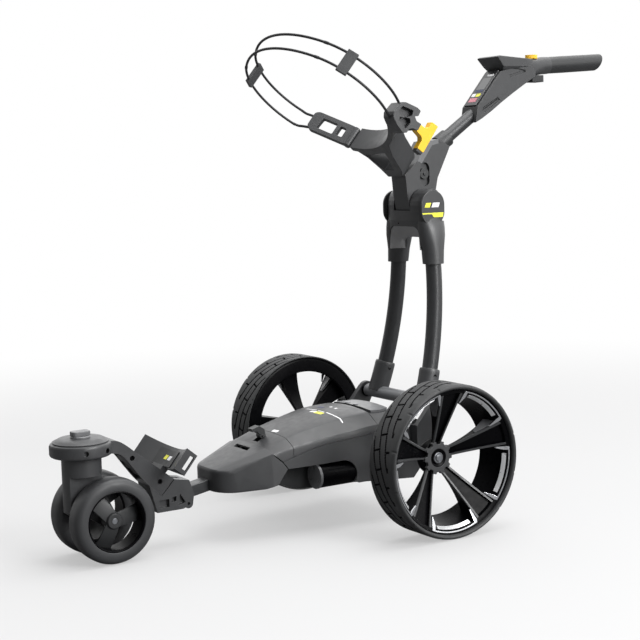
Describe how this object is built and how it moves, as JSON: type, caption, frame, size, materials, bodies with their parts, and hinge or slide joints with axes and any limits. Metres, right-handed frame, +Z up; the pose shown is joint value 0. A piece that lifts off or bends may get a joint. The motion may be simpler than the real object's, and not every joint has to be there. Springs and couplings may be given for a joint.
{
  "type": "electric golf trolley",
  "caption": "Folding three-point electric golf trolley with twin-wheel front caster, spoked drive wheels, tilted bag cradle, elastic strap and single grip handle.",
  "frame": {"origin": "on the ground, at the middle of the trolley's overall length and width", "axes": "+Z up, -Y the way the trolley drives, +X to the trolley's left along the axles"},
  "size_m": [0.652, 1.4579, 1.0456],
  "materials": {
    "charcoal_plastic": "fine moulded grain, satin",
    "dark_plastic": "fine moulded grain, matte",
    "grey_plastic": "satin",
    "gloss_black": "gloss",
    "label_black": "satin label",
    "tyre_rubber": "matt rubber",
    "caster_rubber": "matt rubber",
    "chrome_trim": "polished",
    "dark_tube": "satin powder coat",
    "light_casting": "satin",
    "steel": "machined",
    "yellow_plastic": "satin",
    "cord_rubber": "woven elastic sleeve",
    "circuit_case": "matte",
    "battery_case": "matte",
    "screen_glass": "gloss"
  },
  "bodies": {
    "chassis": {"body_shell": "charcoal_plastic", "nose_cover": "charcoal_plastic", "belly_pan": "dark_plastic", "rear_cover": "grey_plastic", "battery_pack": "battery_case", "controller_box": "circuit_case", "motors": "dark_tube", "motor_plates": "light_casting", "gearboxes": "light_casting", "axle_bearings": "steel", "drawbar": "dark_tube", "front_bracket": "charcoal_plastic", "front_arm_shells": "charcoal_plastic", "arm_screws": "steel", "caster_head": "charcoal_plastic", "lower_bag_support": "charcoal_plastic", "bag_support_pad": "label_black"},
    "caster": {"caster_fork": "charcoal_plastic", "caster_axle": "steel"},
    "caster_wheel_left": {"caster_tyre_left": "caster_rubber", "caster_rim_left": "dark_plastic"},
    "caster_wheel_right": {"caster_tyre_right": "caster_rubber", "caster_rim_right": "dark_plastic"},
    "caster_knob": {"caster_lock_knob": "grey_plastic"},
    "wheel_left": {"tyre_left": "tyre_rubber", "rim_left": "gloss_black", "rim_trim_left": "chrome_trim", "hub_left": "dark_plastic", "axle_left": "steel"},
    "wheel_right": {"tyre_right": "tyre_rubber", "rim_right": "gloss_black", "rim_trim_right": "chrome_trim", "hub_right": "dark_plastic", "axle_right": "steel"},
    "lid": {"battery_lid": "charcoal_plastic"},
    "catch": {"fold_catch": "dark_plastic"},
    "stem": {"stem_barrel": "light_casting", "stem_tubes": "dark_tube", "lower_collars": "charcoal_plastic", "stem_yoke": "charcoal_plastic", "yoke_front_cover": "dark_plastic", "hinge_caps": "charcoal_plastic", "stem_fasteners": "steel"},
    "upper": {"neck_shell": "charcoal_plastic", "knuckle_cover": "grey_plastic", "handle_collar": "dark_plastic", "handle_tube": "dark_tube", "pod_housing": "charcoal_plastic", "pod_front_panel": "label_black", "screen_glass": "screen_glass", "grip": "dark_plastic", "bag_cradle": "charcoal_plastic", "accessory_socket": "dark_plastic"},
    "fold_lock": {"fold_lock_button": "dark_plastic"},
    "dial": {"speed_dial": "yellow_plastic"},
    "strap": {"strap_cords": "cord_rubber", "strap_tabs": "charcoal_plastic", "strap_clip": "charcoal_plastic", "strap_buckle": "charcoal_plastic"},
    "toggle": {"toggle_handle": "yellow_plastic"}
  },
  "joints": [
    {"name": "wheel_left_spin", "type": "hinge", "parent": "chassis", "child": "wheel_left", "pos_m": [0.287, 0.011, 0.16], "axis": [1, 0, 0], "continuous": true},
    {"name": "wheel_right_spin", "type": "hinge", "parent": "chassis", "child": "wheel_right", "pos_m": [-0.287, 0.011, 0.16], "axis": [1, 0, 0], "continuous": true},
    {"name": "caster_swivel", "type": "hinge", "parent": "chassis", "child": "caster", "pos_m": [0, -0.667, 0.2], "axis": [0, 0, 1], "continuous": true},
    {"name": "caster_wheel_left_spin", "type": "hinge", "parent": "caster", "child": "caster_wheel_left", "pos_m": [0.047, -0.627, 0.086], "axis": [1, 0, 0], "continuous": true},
    {"name": "caster_wheel_right_spin", "type": "hinge", "parent": "caster", "child": "caster_wheel_right", "pos_m": [-0.047, -0.627, 0.086], "axis": [1, 0, 0], "continuous": true},
    {"name": "caster_lock_turn", "type": "hinge", "parent": "chassis", "child": "caster_knob", "pos_m": [0, -0.667, 0.255], "axis": [0, 0, 1], "range_deg": [0, 90]},
    {"name": "battery_lid_hinge", "type": "hinge", "parent": "chassis", "child": "lid", "pos_m": [0, -0.0342, 0.2337], "axis": [1, 0, 0], "range_deg": [-55, 0]},
    {"name": "fold_catch_hinge", "type": "hinge", "parent": "lid", "child": "catch", "pos_m": [0, -0.257, 0.202], "axis": [1, 0, 0], "range_deg": [-25, 0]},
    {"name": "stem_fold", "type": "hinge", "parent": "chassis", "child": "stem", "pos_m": [0, 0.111, 0.245], "axis": [1, 0, 0], "range_deg": [0, 95]},
    {"name": "handle_fold", "type": "hinge", "parent": "stem", "child": "upper", "pos_m": [0, 0.161, 0.676], "axis": [1, 0, 0], "range_deg": [-124, 0]},
    {"name": "fold_lock_slide", "type": "slide", "parent": "upper", "child": "fold_lock", "axis": [0, 0, 1], "range_m": [-0.012, 0.01]},
    {"name": "speed_dial_turn", "type": "hinge", "parent": "upper", "child": "dial", "pos_m": [0, 0.51, 1.01], "axis": [0, 0, 1], "continuous": true},
    {"name": "strap_swing", "type": "hinge", "parent": "upper", "child": "strap", "pos_m": [-0.072, 0.04288, 0.8283], "axis": [0, 0.6428, 0.766], "range_deg": [-60, 0]},
    {"name": "toggle_pull", "type": "slide", "parent": "strap", "child": "toggle", "axis": [0, 0.766, -0.6428], "range_m": [0, 0.012]}
  ],
  "couplings": [
    {"joint": "handle_fold", "follows": "stem_fold", "ratio": -1.3}
  ]
}
